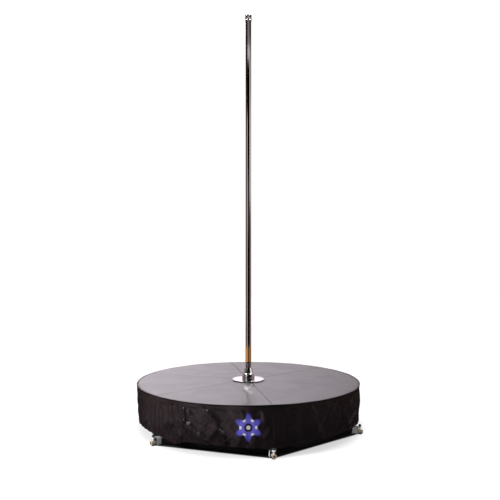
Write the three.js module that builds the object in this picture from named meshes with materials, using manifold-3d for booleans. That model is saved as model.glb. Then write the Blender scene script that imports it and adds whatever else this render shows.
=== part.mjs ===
// Free-standing dance pole on a round stage, in millimetres.
// +Z is up. The origin is on the floor under the pole's axis, and leg 1 points along -Y.
import * as THREE from 'three';
import { mergeVertices } from 'three/addons/utils/BufferGeometryUtils.js';
import Module from 'manifold-3d';

const wasm = await Module();
wasm.setup();

// Clearances and cutting allowances
const fitGap = 0.3;
const runningGap = 0.1;
const slidingGap = 0.6;
const cutOverrun = 2;
const weldOverlap = 0.5;

// Stage
const legCount = 6;
const stageRadius = 850;
const stageHeight = 343;
const legStep = (2 * Math.PI) / legCount;
const halfStep = legStep / 2;
const firstLegAngle = -Math.PI / 2;

// Deck boards
const deckThickness = 25;
const deckSeam = 2;
const deckEdgeRound = 7;
const deckEdgeSteps = 3;
const deckBottom = stageHeight - deckThickness;
const deckArcSteps = 12;

// Legs: a lower tube and an upper rail, joined by upright flats
const legTube = 38;
const upperRailHeight = 32;
const upperRailWidth = 32;
const tubeWall = 2;
const legInnerRadius = 45;
const uprightCount = 4;
const uprightWidth = 30;
const uprightThickness = 5;
const upperRailTop = deckBottom - fitGap;
const upperRailBottom = upperRailTop - upperRailHeight;

// End fittings: a square block over the tube's end, and a round barrel for the levelling screw
const blockWall = 4;
const blockLift = 6;
const blockOverhang = 3;
const blockLength = 54;
const blockChamfer = 7;
const blockEndWall = 13.7;
const barrelDiameter = 30;
const barrelLength = 34;
const barrelSegments = 20;
const blockSize = legTube + 2 * blockWall;
const blockOuterRadius = stageRadius + blockOverhang;
const blockInnerRadius = blockOuterRadius - blockLength;
const legTubeBottom = blockLift + blockWall;
const legTubeTop = legTubeBottom + legTube;
const legTubeEnd = blockOuterRadius - blockEndWall - fitGap;

// Levelling feet
const screwRadius = 6;
const screwSegments = 16;
const padRadius = 13;
const padThickness = 4;
const padRecess = 2;
const padRound = 1.5;
const footTravel = 12;
const knobStopGap = 1.7;
const knobRadius = 12.5;
const knobThickness = 11;
const knobSideGap = 1.5;
const screwCapRadius = 9.5;
const screwCapHeight = 13;
const screwCapChamfer = 2;
const barrelBottom = padThickness + fitGap;
const footAxisRadius = blockOuterRadius + knobRadius + knobSideGap;
const screwBottom = padThickness - padRecess + fitGap;
const knobBottom = barrelBottom + barrelDiameter + footTravel + knobStopGap;

// Cleats on the legs, and the side frames that hook onto them
const cleatLength = 52;
const cleatSetback = 3;
const cleatReach = blockSize / 2;
const legEndRadius = blockInnerRadius - cleatSetback;
const sideFrameSetback = 18.1;
const sideFrameWidth = 25;
const sideUprightInset = 45;
const sideFrameFace = stageRadius * Math.cos(halfStep) - sideFrameSetback;

// Hub: two plates, a bearing housing and the neck that rises through the deck
const plateRadius = 150;
const plateThickness = 6;
const uprightSetback = 10;
const neckWall = 7;
const neckRise = 42;
const ledgeWidth = 4;
const hubSegments = 36;
const lowerPlateTop = legTubeBottom - fitGap;
const upperPlateTop = upperRailBottom - fitGap;

// Upper ball bearing
const shaftRadius = 12.5;
const bearingRadius = 26;
const bearingWidth = 15;
const bearingDepth = 28;
const ballRadius = 3.97;
const ballCount = 9;
const raceLandGap = 2.55;
const cageThickness = 1.3;
const cageWidth = 4;
const grooveSteps = 4;
const ballPitchRadius = (shaftRadius + bearingRadius) / 2;
const ballAround = 6;
const ballRows = 4;
const neckTop = stageHeight + neckRise;
const bearingTop = neckTop - bearingDepth;
const bearingBottom = bearingTop - bearingWidth;
const bearingMiddle = (bearingBottom + bearingTop) / 2;
const housingRadius = bearingRadius + runningGap;
const neckRadius = housingRadius + neckWall;

// Lower bush
const bushHeight = 25;
const bushLift = 50;

// Pole: stacked tubes on a spindle
const poleRadius = 22.5;
const poleWall = 2;
const longTubeLength = 1000;
const extensionTubeLength = 250;
const topTubeLength = 500;
const tubeLengths = [longTubeLength, longTubeLength, extensionTubeLength, topTubeLength];
const tubeNames = ['pole_base_tube', 'pole_middle_tube', 'pole_extension_tube', 'pole_top_tube'];
const poleSegments = 36;
const joinerLength = 160;
const joinerWall = 4;
const innerSegments = 18;
const spindleShoulderRadius = 24;
const spindlePlugLength = 110;
const spindleTipRound = 3;
const spindleTail = 12;
const plugRadius = poleRadius - poleWall - fitGap;
const poleBottom = neckTop + cutOverrun;

// Spin lock screws
const lockScrewRadius = 4;
const lockScrewLength = 9;
const lockScrewTravel = 1.2;
const lockScrewDrop = 14;
const lockSocketRadius = 2.3;
const lockSocketDepth = 4;
const lockScrewSegments = 12;
const lockScrewAngles = [0, Math.PI];
const lockScrewTip = spindleShoulderRadius + lockScrewTravel + fitGap;
const lockScrewHeight = neckTop - lockScrewDrop;

// Flange ring on the deck
const flangeRadius = 122.5;
const flangeThickness = 7;
const flangeRound = 1.5;
const flangeSegments = 48;
const flangeBoreRadius = neckRadius + cutOverrun;
const flangeBottom = stageHeight + fitGap;
const deckBoreRadius = flangeBoreRadius + flangeThickness + cutOverrun;

// Bell collar over the neck
const bellBaseRadius = 49.5;
const bellHeight = 88;
const bellWall = 3;
const bellSegments = 30;
const bellBottom = flangeBottom + flangeThickness + fitGap;
// Each pair is a share of the flare from top to base, and a share of the height
const bellFlareShares = [
  [1, 0], [0.985, 0.1], [0.93, 0.27], [0.84, 0.4], [0.75, 0.49], [0.6, 0.57], [0.06, 0.95], [0, 1],
];

// Pole cap
const capLipRadius = 26;
const capLipHeight = 9;
const capGrooveRadius = 23.5;
const capGrooveHeight = 5;
const capBandRadius = 25.2;
const capHeight = 53;
const capDomeDrop = 6;
const capPlugLength = 30;

// Skirt
const skirtThickness = 2.5;
const skirtHemHeight = 66;
const skirtTopDrop = 1;
const skirtHemInset = 9;
const skirtSeam = 1;
const skirtTautShare = 0.15;
const skirtColumns = 20;
const skirtRows = 6;
const foldDepth = 9;
const foldPivotShare = 0.5;
// Each fold: place and lean along the half panel, width, and depth, as shares
const skirtFoldShares = [
  [-0.8, 0.12, 0.08, 0.5],
  [-0.5, 0.3, 0.11, 1],
  [-0.14, -0.22, 0.1, 0.75],
  [0.2, 0.26, 0.13, -0.6],
  [0.52, -0.2, 0.1, 0.9],
  [0.82, -0.12, 0.07, 0.55],
];
const skirtTop = stageHeight - skirtTopDrop;
const skirtOuterRadius = stageRadius + fitGap + skirtThickness;

// Finishes
const finish = (color, roughness, metalness) => new THREE.MeshStandardMaterial({ color, roughness, metalness });
const blackPaint = finish(0x17161a, 0.5, 0.3);
const zincPlate = finish(0xb4b8bf, 0.32, 0.9);
const chrome = finish(0x8f8c8d, 0.08, 1);
const polishedSteel = finish(0xc6c7ca, 0.12, 1);
const bearingSteel = finish(0x9a9da1, 0.25, 1);
const bronze = finish(0xa5793c, 0.4, 1);
const deckVinyl = finish(0x48434b, 0.35, 0);
const blackNylon = finish(0x151217, 0.7, 0);
const blackRubber = finish(0x101011, 0.9, 0);

// Volume enclosed by an indexed mesh, negative when its faces point in
function enclosedVolume(geometry) {
  const position = geometry.attributes.position;
  const index = geometry.index.array;
  const corners = [new THREE.Vector3(), new THREE.Vector3(), new THREE.Vector3()];
  let total = 0;
  for (let i = 0; i < index.length; i += 3) {
    corners.forEach((corner, k) => corner.fromBufferAttribute(position, index[i + k]));
    total += corners[0].dot(corners[1].cross(corners[2])) / 6;
  }
  return total;
}

// Weld a geometry into one closed mesh with its faces pointing out
function welded(geometry) {
  const bare = geometry.clone();
  bare.deleteAttribute('normal');
  bare.deleteAttribute('uv');
  const merged = mergeVertices(bare);
  const source = merged.index.array;
  const kept = [];
  for (let i = 0; i < source.length; i += 3) {
    const [a, b, c] = [source[i], source[i + 1], source[i + 2]];
    if (a !== b && b !== c && c !== a) kept.push(a, b, c);
  }
  merged.setIndex(kept);
  if (enclosedVolume(merged) < 0) {
    for (let i = 0; i < kept.length; i += 3) [kept[i], kept[i + 1]] = [kept[i + 1], kept[i]];
    merged.setIndex(kept);
  }
  return merged;
}

function toSolid(geometry) {
  const source = welded(geometry);
  return new wasm.Manifold(new wasm.Mesh({
    numProp: 3,
    vertProperties: new Float32Array(source.attributes.position.array),
    triVerts: new Uint32Array(source.index.array),
  }));
}

function toGeometry(solid) {
  const mesh = solid.getMesh();
  const geometry = new THREE.BufferGeometry();
  geometry.setAttribute('position', new THREE.BufferAttribute(mesh.vertProperties, 3));
  geometry.setIndex(new THREE.BufferAttribute(mesh.triVerts, 1));
  return geometry;
}

function joined(...shapes) {
  return toGeometry(shapes.map(toSolid).reduce((sum, shape) => sum.add(shape)));
}

function cutBy(base, ...cutters) {
  return toGeometry(cutters.map(toSolid).reduce((rest, cutter) => rest.subtract(cutter), toSolid(base)));
}

function shared(first, second) {
  return toGeometry(toSolid(first).intersect(toSolid(second)));
}

// Radius of a faceted bore that clears a round of the given radius at every angle
const boreRadius = (radius, segments) => (radius + runningGap) / Math.cos(Math.PI / segments);

// A box between two corners
function block(x, y, z) {
  const size = [x, y, z].map(([low, high]) => high - low);
  const middle = [x, y, z].map(([low, high]) => (low + high) / 2);
  return new THREE.BoxGeometry(...size).translate(...middle);
}

// A shape turned about Z from [radius, height] points. Off the axis, the outline closes on itself.
function turned(outline, segments) {
  const onAxis = outline[0][0] === 0;
  const points = onAxis ? outline : [...outline, outline[0]];
  const lathe = new THREE.LatheGeometry(points.map(([r, z]) => new THREE.Vector2(r, z)), segments);
  return welded(lathe.rotateX(Math.PI / 2));
}

function rod(radius, bottom, top, segments) {
  return turned([[0, bottom], [radius, bottom], [radius, top], [0, top]], segments);
}

function ring(innerRadius, outerRadius, bottom, top, segments) {
  const outline = [[innerRadius, bottom], [outerRadius, bottom], [outerRadius, top], [innerRadius, top]];
  return turned(outline, segments);
}

// Lay a shape made along Z down along X
const alongX = (geometry) => geometry.rotateY(Math.PI / 2);

// Points of a round corner about a centre, from one angle to another
function arc(centre, radius, from, to, steps) {
  return Array.from({ length: steps + 1 }, (_, i) => {
    const angle = from + ((to - from) * i) / steps;
    return [centre[0] + radius * Math.cos(angle), centre[1] + radius * Math.sin(angle)];
  });
}

// The space between two legs, seen from above, kept a distance off each leg's middle
function sector(setback, reach, bottom, top) {
  const tip = setback / Math.sin(halfStep);
  const spread = (reach - tip) * Math.tan(halfStep);
  const outline = new THREE.Shape();
  outline.moveTo(tip, 0);
  outline.lineTo(reach, -spread);
  outline.lineTo(reach, spread);
  outline.closePath();
  const wedge = new THREE.ExtrudeGeometry(outline, { depth: top - bottom, bevelEnabled: false });
  return wedge.translate(0, 0, bottom);
}

function addPiece(parent, name, geometry, material, position = [0, 0, 0]) {
  const mesh = new THREE.Mesh(geometry, material);
  mesh.name = name;
  mesh.position.set(...position);
  parent.add(mesh);
  return mesh;
}

// Evenly spaced middles of the uprights between two ends
function uprightPlaces(first, last) {
  return Array.from({ length: uprightCount }, (_, i) => first + ((last - first) * i) / (uprightCount - 1));
}

// Leg frame, along +X
function legFrame() {
  const tubeSpan = [legTubeBottom, legTubeTop];
  const railSpan = [upperRailBottom, upperRailTop];
  const halfTube = legTube / 2;
  const halfRail = upperRailWidth / 2;
  const lowerTube = block([legInnerRadius, legTubeEnd], [-halfTube, halfTube], tubeSpan);
  const upperRail = block([legInnerRadius, legEndRadius], [-halfRail, halfRail], railSpan);
  const firstUpright = plateRadius + uprightSetback + uprightWidth / 2;
  const uprights = uprightPlaces(firstUpright, legEndRadius - uprightWidth / 2).map((x) => block(
    [x - uprightWidth / 2, x + uprightWidth / 2],
    [-uprightThickness / 2, uprightThickness / 2],
    [legTubeTop - weldOverlap, upperRailBottom + weldOverlap],
  ));
  const cleatSpan = [legEndRadius - cleatLength, legEndRadius];
  const cleats = [tubeSpan, railSpan].map((span) => block(cleatSpan, [-cleatReach, cleatReach], span));
  const tubeBore = block(
    [legInnerRadius - cutOverrun, legTubeEnd + cutOverrun],
    [tubeWall - halfTube, halfTube - tubeWall],
    [legTubeBottom + tubeWall, legTubeTop - tubeWall],
  );
  const railBore = block(
    [legInnerRadius - cutOverrun, legEndRadius + cutOverrun],
    [tubeWall - halfRail, halfRail - tubeWall],
    [upperRailBottom + tubeWall, upperRailTop - tubeWall],
  );
  return cutBy(joined(lowerTube, upperRail, ...uprights, ...cleats), tubeBore, railBore);
}

// End fitting, along +X: chamfered square block, pocket for the tube, and barrel with the screw's bore
function endFitting() {
  const corner = Math.SQRT1_2 * blockSize;
  const insetCorner = corner - Math.SQRT2 * blockChamfer;
  const outline = [
    [0, 0], [insetCorner, 0], [corner, blockChamfer], [corner, blockLength], [0, blockLength],
  ];
  const squareBar = alongX(turned(outline, 4).rotateZ(Math.PI / 4));
  const body = squareBar.translate(blockInnerRadius, 0, blockLift + blockSize / 2);
  const barrelAxis = barrelBottom + barrelDiameter / 2;
  const barrel = alongX(rod(barrelDiameter / 2, -weldOverlap, barrelLength, barrelSegments));
  barrel.translate(blockOuterRadius, 0, barrelAxis);
  const halfPocket = legTube / 2 + fitGap;
  const pocket = block(
    [blockInnerRadius - cutOverrun, legTubeEnd + fitGap],
    [-halfPocket, halfPocket],
    [legTubeBottom - fitGap, legTubeTop + fitGap],
  );
  const boreTop = barrelBottom + barrelDiameter + cutOverrun;
  const screwBore = rod(boreRadius(screwRadius, screwSegments), barrelBottom - cutOverrun, boreTop, screwSegments);
  return cutBy(joined(body, barrel), pocket, screwBore.translate(footAxisRadius, 0, 0));
}

// Levelling screw about its own axis: stem, flange knob and cap
function footScrew() {
  const knobTop = knobBottom + knobThickness;
  const capTop = knobTop + screwCapHeight;
  return turned([
    [0, screwBottom], [screwRadius, screwBottom], [screwRadius, knobBottom],
    [knobRadius, knobBottom], [knobRadius, knobTop], [screwCapRadius, knobTop],
    [screwCapRadius, capTop - screwCapChamfer], [screwCapRadius - screwCapChamfer, capTop], [0, capTop],
  ], screwSegments);
}

// Rubber pad with a recess for the screw's tip
function footPad() {
  const recessRadius = screwRadius + fitGap;
  const recessFloor = padThickness - padRecess;
  return turned([
    [0, 0], [padRadius, 0], [padRadius, padThickness - padRound], [padRadius - padRound, padThickness],
    [recessRadius, padThickness], [recessRadius, recessFloor], [0, recessFloor],
  ], screwSegments);
}

// Side frame between two legs. +X points out through its middle.
function sideFrame() {
  const inner = sideFrameFace - sideFrameWidth;
  const spans = [[legTubeBottom, legTubeTop], [upperRailBottom, upperRailTop]];
  const reach = stageRadius;
  const endSetback = cleatReach + fitGap;
  const halfLength = (inner - endSetback / Math.sin(halfStep)) * Math.tan(halfStep);
  const rails = spans.map((span) => block([inner, sideFrameFace], [-reach, reach], span));
  const middle = (inner + sideFrameFace) / 2;
  const lastUpright = halfLength - sideUprightInset;
  const uprights = uprightPlaces(-lastUpright, lastUpright).map((y) => block(
    [middle - uprightThickness / 2, middle + uprightThickness / 2],
    [y - uprightWidth / 2, y + uprightWidth / 2],
    [legTubeTop - weldOverlap, upperRailBottom + weldOverlap],
  ));
  const bores = spans.map(([bottom, top]) => block(
    [inner + tubeWall, sideFrameFace - tubeWall],
    [-reach - cutOverrun, reach + cutOverrun],
    [bottom + tubeWall, top - tubeWall],
  ));
  const between = sector(endSetback, reach, legTubeBottom - cutOverrun, upperRailTop + cutOverrun);
  return shared(cutBy(joined(...rails, ...uprights), ...bores), between);
}

// Deck board: one sector of a round-edged disc. +X points out through its middle.
function deckPanel() {
  const edgeCentre = [stageRadius - deckEdgeRound, stageHeight - deckEdgeRound];
  const disc = turned([
    [deckBoreRadius, deckBottom], [stageRadius, deckBottom],
    ...arc(edgeCentre, deckEdgeRound, 0, Math.PI / 2, deckEdgeSteps),
    [deckBoreRadius, stageHeight],
  ], deckArcSteps * legCount);
  const reach = stageRadius + cutOverrun;
  const between = sector(deckSeam / 2, reach, deckBottom - cutOverrun, stageHeight + cutOverrun);
  return shared(disc.rotateZ(halfStep - firstLegAngle), between);
}

// Outer radius of the skirt. The angle is from the panel's middle, the drop is 0 at the deck and 1 at the hem.
function skirtRadius(angle, drop, side) {
  const hemAtLeg = stageRadius - skirtHemInset;
  const chord = (hemAtLeg * Math.cos(halfStep)) / Math.cos(angle);
  const hem = THREE.MathUtils.lerp(hemAtLeg, chord, skirtTautShare);
  const along = (side * angle) / halfStep;
  const folds = skirtFoldShares.reduce((sum, [place, lean, width, depth]) => {
    const offset = (along - place - lean * (drop - foldPivotShare)) / width;
    return sum + depth * Math.exp(-offset * offset);
  }, 0);
  const held = 1 - along ** 8;
  return THREE.MathUtils.lerp(skirtOuterRadius, hem, drop ** 1.2) + foldDepth * folds * held * drop ** 0.8;
}

// Skirt panel: a grid of outer and inner points, closed round its four edges
function skirtPanel(side) {
  const lastAngle = halfStep - skirtSeam / 2 / stageRadius;
  const heldHeight = deckBottom - cutOverrun;
  const heights = [skirtTop];
  for (let row = 0; row < skirtRows; row += 1) {
    heights.push(THREE.MathUtils.lerp(heldHeight, skirtHemHeight, row / (skirtRows - 1)));
  }
  const points = [];
  const columns = skirtColumns + 1;
  for (const inset of [0, skirtThickness]) {
    for (const height of heights) {
      const drop = Math.max(0, (heldHeight - height) / (heldHeight - skirtHemHeight));
      for (let column = 0; column < columns; column += 1) {
        const angle = THREE.MathUtils.lerp(-lastAngle, lastAngle, column / skirtColumns);
        const radius = skirtRadius(angle, drop, side) - inset;
        points.push(radius * Math.cos(angle), radius * Math.sin(angle), height);
      }
    }
  }
  const layer = heights.length * columns;
  const faces = [];
  const quad = (a, b, c, d) => faces.push(a, b, c, a, c, d);
  for (let row = 0; row < heights.length - 1; row += 1) {
    for (let column = 0; column < skirtColumns; column += 1) {
      const a = row * columns + column;
      quad(a, a + columns, a + columns + 1, a + 1);
      quad(layer + a, layer + a + 1, layer + a + columns + 1, layer + a + columns);
    }
    const left = row * columns;
    const right = left + skirtColumns;
    quad(left, layer + left, layer + left + columns, left + columns);
    quad(right, right + columns, layer + right + columns, layer + right);
  }
  const lastRow = (heights.length - 1) * columns;
  for (let column = 0; column < skirtColumns; column += 1) {
    quad(column, column + 1, layer + column + 1, layer + column);
    const a = lastRow + column;
    quad(a, layer + a, layer + a + 1, a + 1);
  }
  const geometry = new THREE.BufferGeometry();
  geometry.setAttribute('position', new THREE.Float32BufferAttribute(points, 3));
  geometry.setIndex(faces);
  return welded(geometry);
}

// Hub: plates under the tubes and rails, housing with a ledge for the bearing, and threaded side holes
function hub() {
  const lowerPlateBottom = lowerPlateTop - plateThickness;
  const upperPlateBottom = upperPlateTop - plateThickness;
  const ledgeRadius = housingRadius - ledgeWidth;
  const ledgeHeight = bearingBottom - fitGap;
  const body = turned([
    [ledgeRadius, lowerPlateBottom], [ledgeRadius, ledgeHeight], [housingRadius, ledgeHeight],
    [housingRadius, neckTop], [neckRadius, neckTop], [neckRadius, upperPlateTop],
    [plateRadius, upperPlateTop], [plateRadius, upperPlateBottom], [neckRadius, upperPlateBottom],
    [neckRadius, lowerPlateTop], [plateRadius, lowerPlateTop], [plateRadius, lowerPlateBottom],
  ], hubSegments);
  const holes = lockScrewAngles.map((angle) => {
    const radius = boreRadius(lockScrewRadius, lockScrewSegments);
    const hole = alongX(rod(radius, ledgeRadius, neckRadius + cutOverrun, lockScrewSegments));
    return hole.rotateZ(angle).translate(0, 0, lockScrewHeight);
  });
  return cutBy(body, ...holes);
}

// Bearing race between two radii, with a groove for the balls facing them
function bearingRace(backRadius, facing) {
  const landRadius = ballPitchRadius + facing * raceLandGap;
  const grooveRadius = ballRadius + fitGap;
  const spread = Math.acos(raceLandGap / grooveRadius);
  const start = facing > 0 ? -spread : Math.PI + spread;
  const groove = arc([ballPitchRadius, bearingMiddle], grooveRadius, start, start + facing * 2 * spread, grooveSteps);
  return turned([
    [backRadius, bearingBottom], [landRadius, bearingBottom], ...groove,
    [landRadius, bearingTop], [backRadius, bearingTop],
  ], hubSegments);
}

// Bearing cage with its balls
function bearingCage() {
  const inner = ballPitchRadius - cageThickness / 2;
  const bottom = bearingMiddle - cageWidth / 2;
  const band = ring(inner, inner + cageThickness, bottom, bottom + cageWidth, innerSegments);
  const balls = Array.from({ length: ballCount }, (_, i) => {
    const ball = new THREE.SphereGeometry(ballRadius, ballAround, ballRows);
    return ball.translate(ballPitchRadius, 0, bearingMiddle).rotateZ((2 * Math.PI * i) / ballCount);
  });
  return joined(band, ...balls);
}

// Spindle: tail, shaft, shoulder in the neck, and plug inside the base tube
function spindle() {
  const shoulderBottom = bearingTop + fitGap;
  const tail = bushLift - spindleTail;
  const plugTop = poleBottom + spindlePlugLength;
  return turned([
    [0, tail], [shaftRadius, tail], [shaftRadius, shoulderBottom], [spindleShoulderRadius, shoulderBottom],
    [spindleShoulderRadius, poleBottom], [plugRadius, poleBottom], [plugRadius, plugTop - spindleTipRound],
    [plugRadius - spindleTipRound, plugTop], [0, plugTop],
  ], poleSegments);
}

// Grub screw along +X with a hexagon socket in its outer end
function lockScrew() {
  const body = rod(lockScrewRadius, 0, lockScrewLength, lockScrewSegments);
  const socket = rod(lockSocketRadius, lockScrewLength - lockSocketDepth, lockScrewLength + cutOverrun, 6);
  return alongX(cutBy(body, socket));
}

function flangeRing() {
  const roundTop = flangeThickness - flangeRound;
  return turned([
    [flangeBoreRadius, 0], [flangeRadius, 0], [flangeRadius, roundTop],
    [flangeRadius - flangeRound, flangeThickness], [flangeBoreRadius, flangeThickness],
  ], flangeSegments);
}

function bellCollar() {
  const topRadius = poleRadius + slidingGap + bellWall;
  const flare = bellBaseRadius - topRadius;
  const outer = bellFlareShares.map(([out, up]) => [topRadius + out * flare, up * bellHeight]);
  const inner = outer.map(([radius, height]) => [radius - bellWall, height]).reverse();
  return turned([...outer, ...inner], bellSegments);
}

function poleCap() {
  const grooveTop = capLipHeight + capGrooveHeight;
  return turned([
    [0, -capPlugLength], [plugRadius, -capPlugLength], [plugRadius, 0],
    [capLipRadius, 0], [capLipRadius, capLipHeight], [capGrooveRadius, capLipHeight],
    [capGrooveRadius, grooveTop], [capBandRadius, grooveTop], [capBandRadius, capHeight - capDomeDrop],
    [capBandRadius - capDomeDrop, capHeight], [0, capHeight],
  ], poleSegments);
}

// Legs and feet
const dancePole = new THREE.Group();
const shapes = {
  leg: legFrame(),
  fitting: endFitting(),
  screw: footScrew(),
  pad: footPad(),
  side: sideFrame(),
  deck: deckPanel(),
};
for (let i = 0; i < legCount; i += 1) {
  const number = i + 1;
  const leg = new THREE.Group();
  leg.rotation.z = firstLegAngle + i * legStep;
  dancePole.add(leg);
  addPiece(leg, `leg_frame_${number}`, shapes.leg, blackPaint);
  addPiece(leg, `end_fitting_${number}`, shapes.fitting, zincPlate);
  addPiece(leg, `foot_screw_${number}`, shapes.screw, zincPlate, [footAxisRadius, 0, 0]);
  addPiece(leg, `foot_pad_${number}`, shapes.pad, blackRubber, [footAxisRadius, 0, 0]);
}

// Frames, boards and skirt between the legs
for (let i = 0; i < legCount; i += 1) {
  const number = i + 1;
  const bay = new THREE.Group();
  bay.rotation.z = firstLegAngle + i * legStep + halfStep;
  dancePole.add(bay);
  addPiece(bay, `side_frame_${number}`, shapes.side, blackPaint);
  addPiece(bay, `deck_panel_${number}`, shapes.deck, deckVinyl);
  addPiece(bay, `skirt_panel_${number}`, skirtPanel(i % 2 === 0 ? 1 : -1), blackNylon);
}

// Hub and bearings
const bushBore = boreRadius(shaftRadius, hubSegments);
const bushRadius = housingRadius - ledgeWidth - runningGap;
const lowerBush = ring(bushBore, bushRadius, bushLift, bushLift + bushHeight, hubSegments);
addPiece(dancePole, 'hub', hub(), blackPaint);
addPiece(dancePole, 'lower_bush', lowerBush, bronze);
addPiece(dancePole, 'upper_bearing_outer_race', bearingRace(bearingRadius, 1), bearingSteel);
addPiece(dancePole, 'upper_bearing_inner_race', bearingRace(shaftRadius + runningGap, -1), bearingSteel);
addPiece(dancePole, 'upper_bearing_cage', bearingCage(), bearingSteel);
addPiece(dancePole, 'spindle', spindle(), bearingSteel);
lockScrewAngles.forEach((angle, i) => {
  const turnedGroup = new THREE.Group();
  turnedGroup.rotation.z = angle;
  dancePole.add(turnedGroup);
  const place = [lockScrewTip, 0, lockScrewHeight];
  addPiece(turnedGroup, `spin_lock_screw_${i + 1}`, lockScrew(), blackPaint, place);
});

// Flange and bell
addPiece(dancePole, 'flange_ring', flangeRing(), polishedSteel, [0, 0, flangeBottom]);
addPiece(dancePole, 'bell_collar', bellCollar(), polishedSteel, [0, 0, bellBottom]);

// Pole tubes, joiners and cap
let tubeBottom = poleBottom + fitGap;
tubeLengths.forEach((length, i) => {
  const tube = ring(poleRadius - poleWall, poleRadius, 0, length - fitGap, poleSegments);
  addPiece(dancePole, tubeNames[i], tube, chrome, [0, 0, tubeBottom]);
  tubeBottom += length;
  if (i < tubeLengths.length - 1) {
    const joiner = ring(plugRadius - joinerWall, plugRadius, -joinerLength / 2, joinerLength / 2, innerSegments);
    addPiece(dancePole, `pole_joiner_${i + 1}`, joiner, bearingSteel, [0, 0, tubeBottom]);
  }
});
addPiece(dancePole, 'pole_cap', poleCap(), polishedSteel, [0, 0, tubeBottom]);

export default dancePole;
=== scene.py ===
# Free-standing dance pole on a round stage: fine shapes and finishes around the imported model
import math
import random
import bmesh
import bpy
import numpy as np
from mathutils import Matrix, Vector


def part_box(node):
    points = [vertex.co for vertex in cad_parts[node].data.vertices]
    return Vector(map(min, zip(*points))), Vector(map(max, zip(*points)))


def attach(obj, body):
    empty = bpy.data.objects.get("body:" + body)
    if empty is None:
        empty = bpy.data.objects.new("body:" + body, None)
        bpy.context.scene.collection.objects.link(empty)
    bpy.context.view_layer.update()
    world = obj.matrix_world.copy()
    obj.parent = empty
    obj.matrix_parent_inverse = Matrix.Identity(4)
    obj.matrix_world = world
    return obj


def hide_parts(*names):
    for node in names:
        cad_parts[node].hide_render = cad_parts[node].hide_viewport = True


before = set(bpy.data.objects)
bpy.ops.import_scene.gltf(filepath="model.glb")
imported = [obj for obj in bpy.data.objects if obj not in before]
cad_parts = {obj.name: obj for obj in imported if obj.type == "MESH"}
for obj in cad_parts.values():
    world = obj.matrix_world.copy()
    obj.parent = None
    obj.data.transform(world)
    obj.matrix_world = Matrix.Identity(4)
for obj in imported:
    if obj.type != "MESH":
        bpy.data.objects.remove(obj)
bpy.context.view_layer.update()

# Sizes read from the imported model, in metres
LEGS = 6
STEP = 2 * math.pi / LEGS
HALF_STEP = STEP / 2
FIRST_LEG = -math.pi / 2
DECK_LOW, DECK_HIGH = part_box("deck_panel_2")
STAGE_RADIUS = DECK_HIGH[0]
DECK_TOP = DECK_HIGH[2]
DECK_BOTTOM = DECK_LOW[2]
FLANGE_LOW, FLANGE_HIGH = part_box("flange_ring")
FLANGE_RADIUS = FLANGE_HIGH[0]
BELL_LOW, BELL_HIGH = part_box("bell_collar")
BELL_RADIUS = BELL_HIGH[0]
POLE_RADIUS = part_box("pole_base_tube")[1][0]
CAP_LOW, CAP_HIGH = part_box("pole_cap")
PAD_LOW, PAD_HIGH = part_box("foot_pad_1")
PAD_RADIUS = (PAD_HIGH[0] - PAD_LOW[0]) / 2
FOOT_RADIUS = -(PAD_LOW[1] + PAD_HIGH[1]) / 2
SCREW_LOW, SCREW_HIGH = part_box("foot_screw_1")
FITTING_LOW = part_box("end_fitting_1")[0]
PANEL_ARC = HALF_STEP * STAGE_RADIUS
EDGE_ROUND = 0.0012
SMALL_ROUND = 0.0006
MERGE = 0.00002

# Deck
DECK_SEAM = 0.0014
DECK_EDGE = 0.006
DECK_ROLL = 0.036
DECK_ROLL_STEPS = 9
DECK_BORE = 0.045
DECK_COLUMNS = 48
SEAM_ROUND = 0.003

# Pole, cap, flange and bell
TURN_STEPS = 128
TUBE_WALL = 0.002
TUBE_CHAMFER = 0.0005
CAP_PLUG_CLEARANCE = 0.0003
CAP_HEAD = 0.053
CAP_LIP = 0.009
CAP_STEP = 0.0005
CAP_GROOVE = 0.004
CAP_GROOVE_RADIUS = 0.0232
CAP_BAND_RADIUS = 0.0252
CAP_CHAMFER = 0.005
# Height of the black band under the flange, painted shade for the dark line under the disc
FLANGE_SHADE_BAND = 0.0042
FLANGE_BORE = 0.035
FLANGE_ROUND = 0.0008
FLANGE_STEPS = 192
BELL_LIP = 0.0036
BELL_WALL = 0.003
BELL_STEPS = 6
# Bell from foot to lip: shares of the flare and of the height
BELL_CURVE = [
    (1, 0), (0.985, 0.1), (0.93, 0.27), (0.84, 0.4), (0.75, 0.49), (0.6, 0.57), (0.06, 0.95), (0, 1),
]

# Feet and leg ends
FOOT_STEPS = 48
THREAD_PITCH = 0.002
THREAD_CORE = 0.0052
THREAD_CREST = 0.006
THREAD_AROUND = 24
THREAD_ROWS = 8
SCREW_CAP = 0.013
SCREW_CAP_RADIUS = 0.0095
SCREW_CAP_CHAMFER = 0.003
NUT_HEIGHT = 0.011
NUT_RADIUS = 0.0108
NUT_FLANGE = 0.0035
NUT_FLANGE_RADIUS = 0.0125
NUT_SLOPE = 0.001
PAD_RIB = 0.0004
PAD_CHAMFER = 0.0015
PAD_RECESS = 0.002
PAD_RECESS_RADIUS = 0.0064
# Depth of the block's outward faces that take the black finish as painted shade
PAINTED_SHADE_DEPTH = 0.003
BARREL_RADIUS = 0.0136
BARREL_HEIGHT = 0.015
# Black plug of the barrel: radii and how far each point stands out of the end
PLUG = [(0, -0.004), (0.0105, -0.004), (0.0105, 0.0001), (0.0136, 0.0001), (0.0136, 0.0012), (0, 0.0018)]
PLUG_INSET = 0.0015
PLUG_STEPS = 40

# Frames and bolts
FRAME_ROUND = 0.0015
HUB_ROUND = 0.001
HUB_BOLT_RADII = (0.085, 0.125)
HUB_BOLT = {"Head": 0.0075, "Depth": 0.0034}
WASHER_RADIUS_SHARE = 1.25
WASHER_DEPTH_SHARE = 0.3
BOLT_LIFT_SHARE = 0.55

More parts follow.
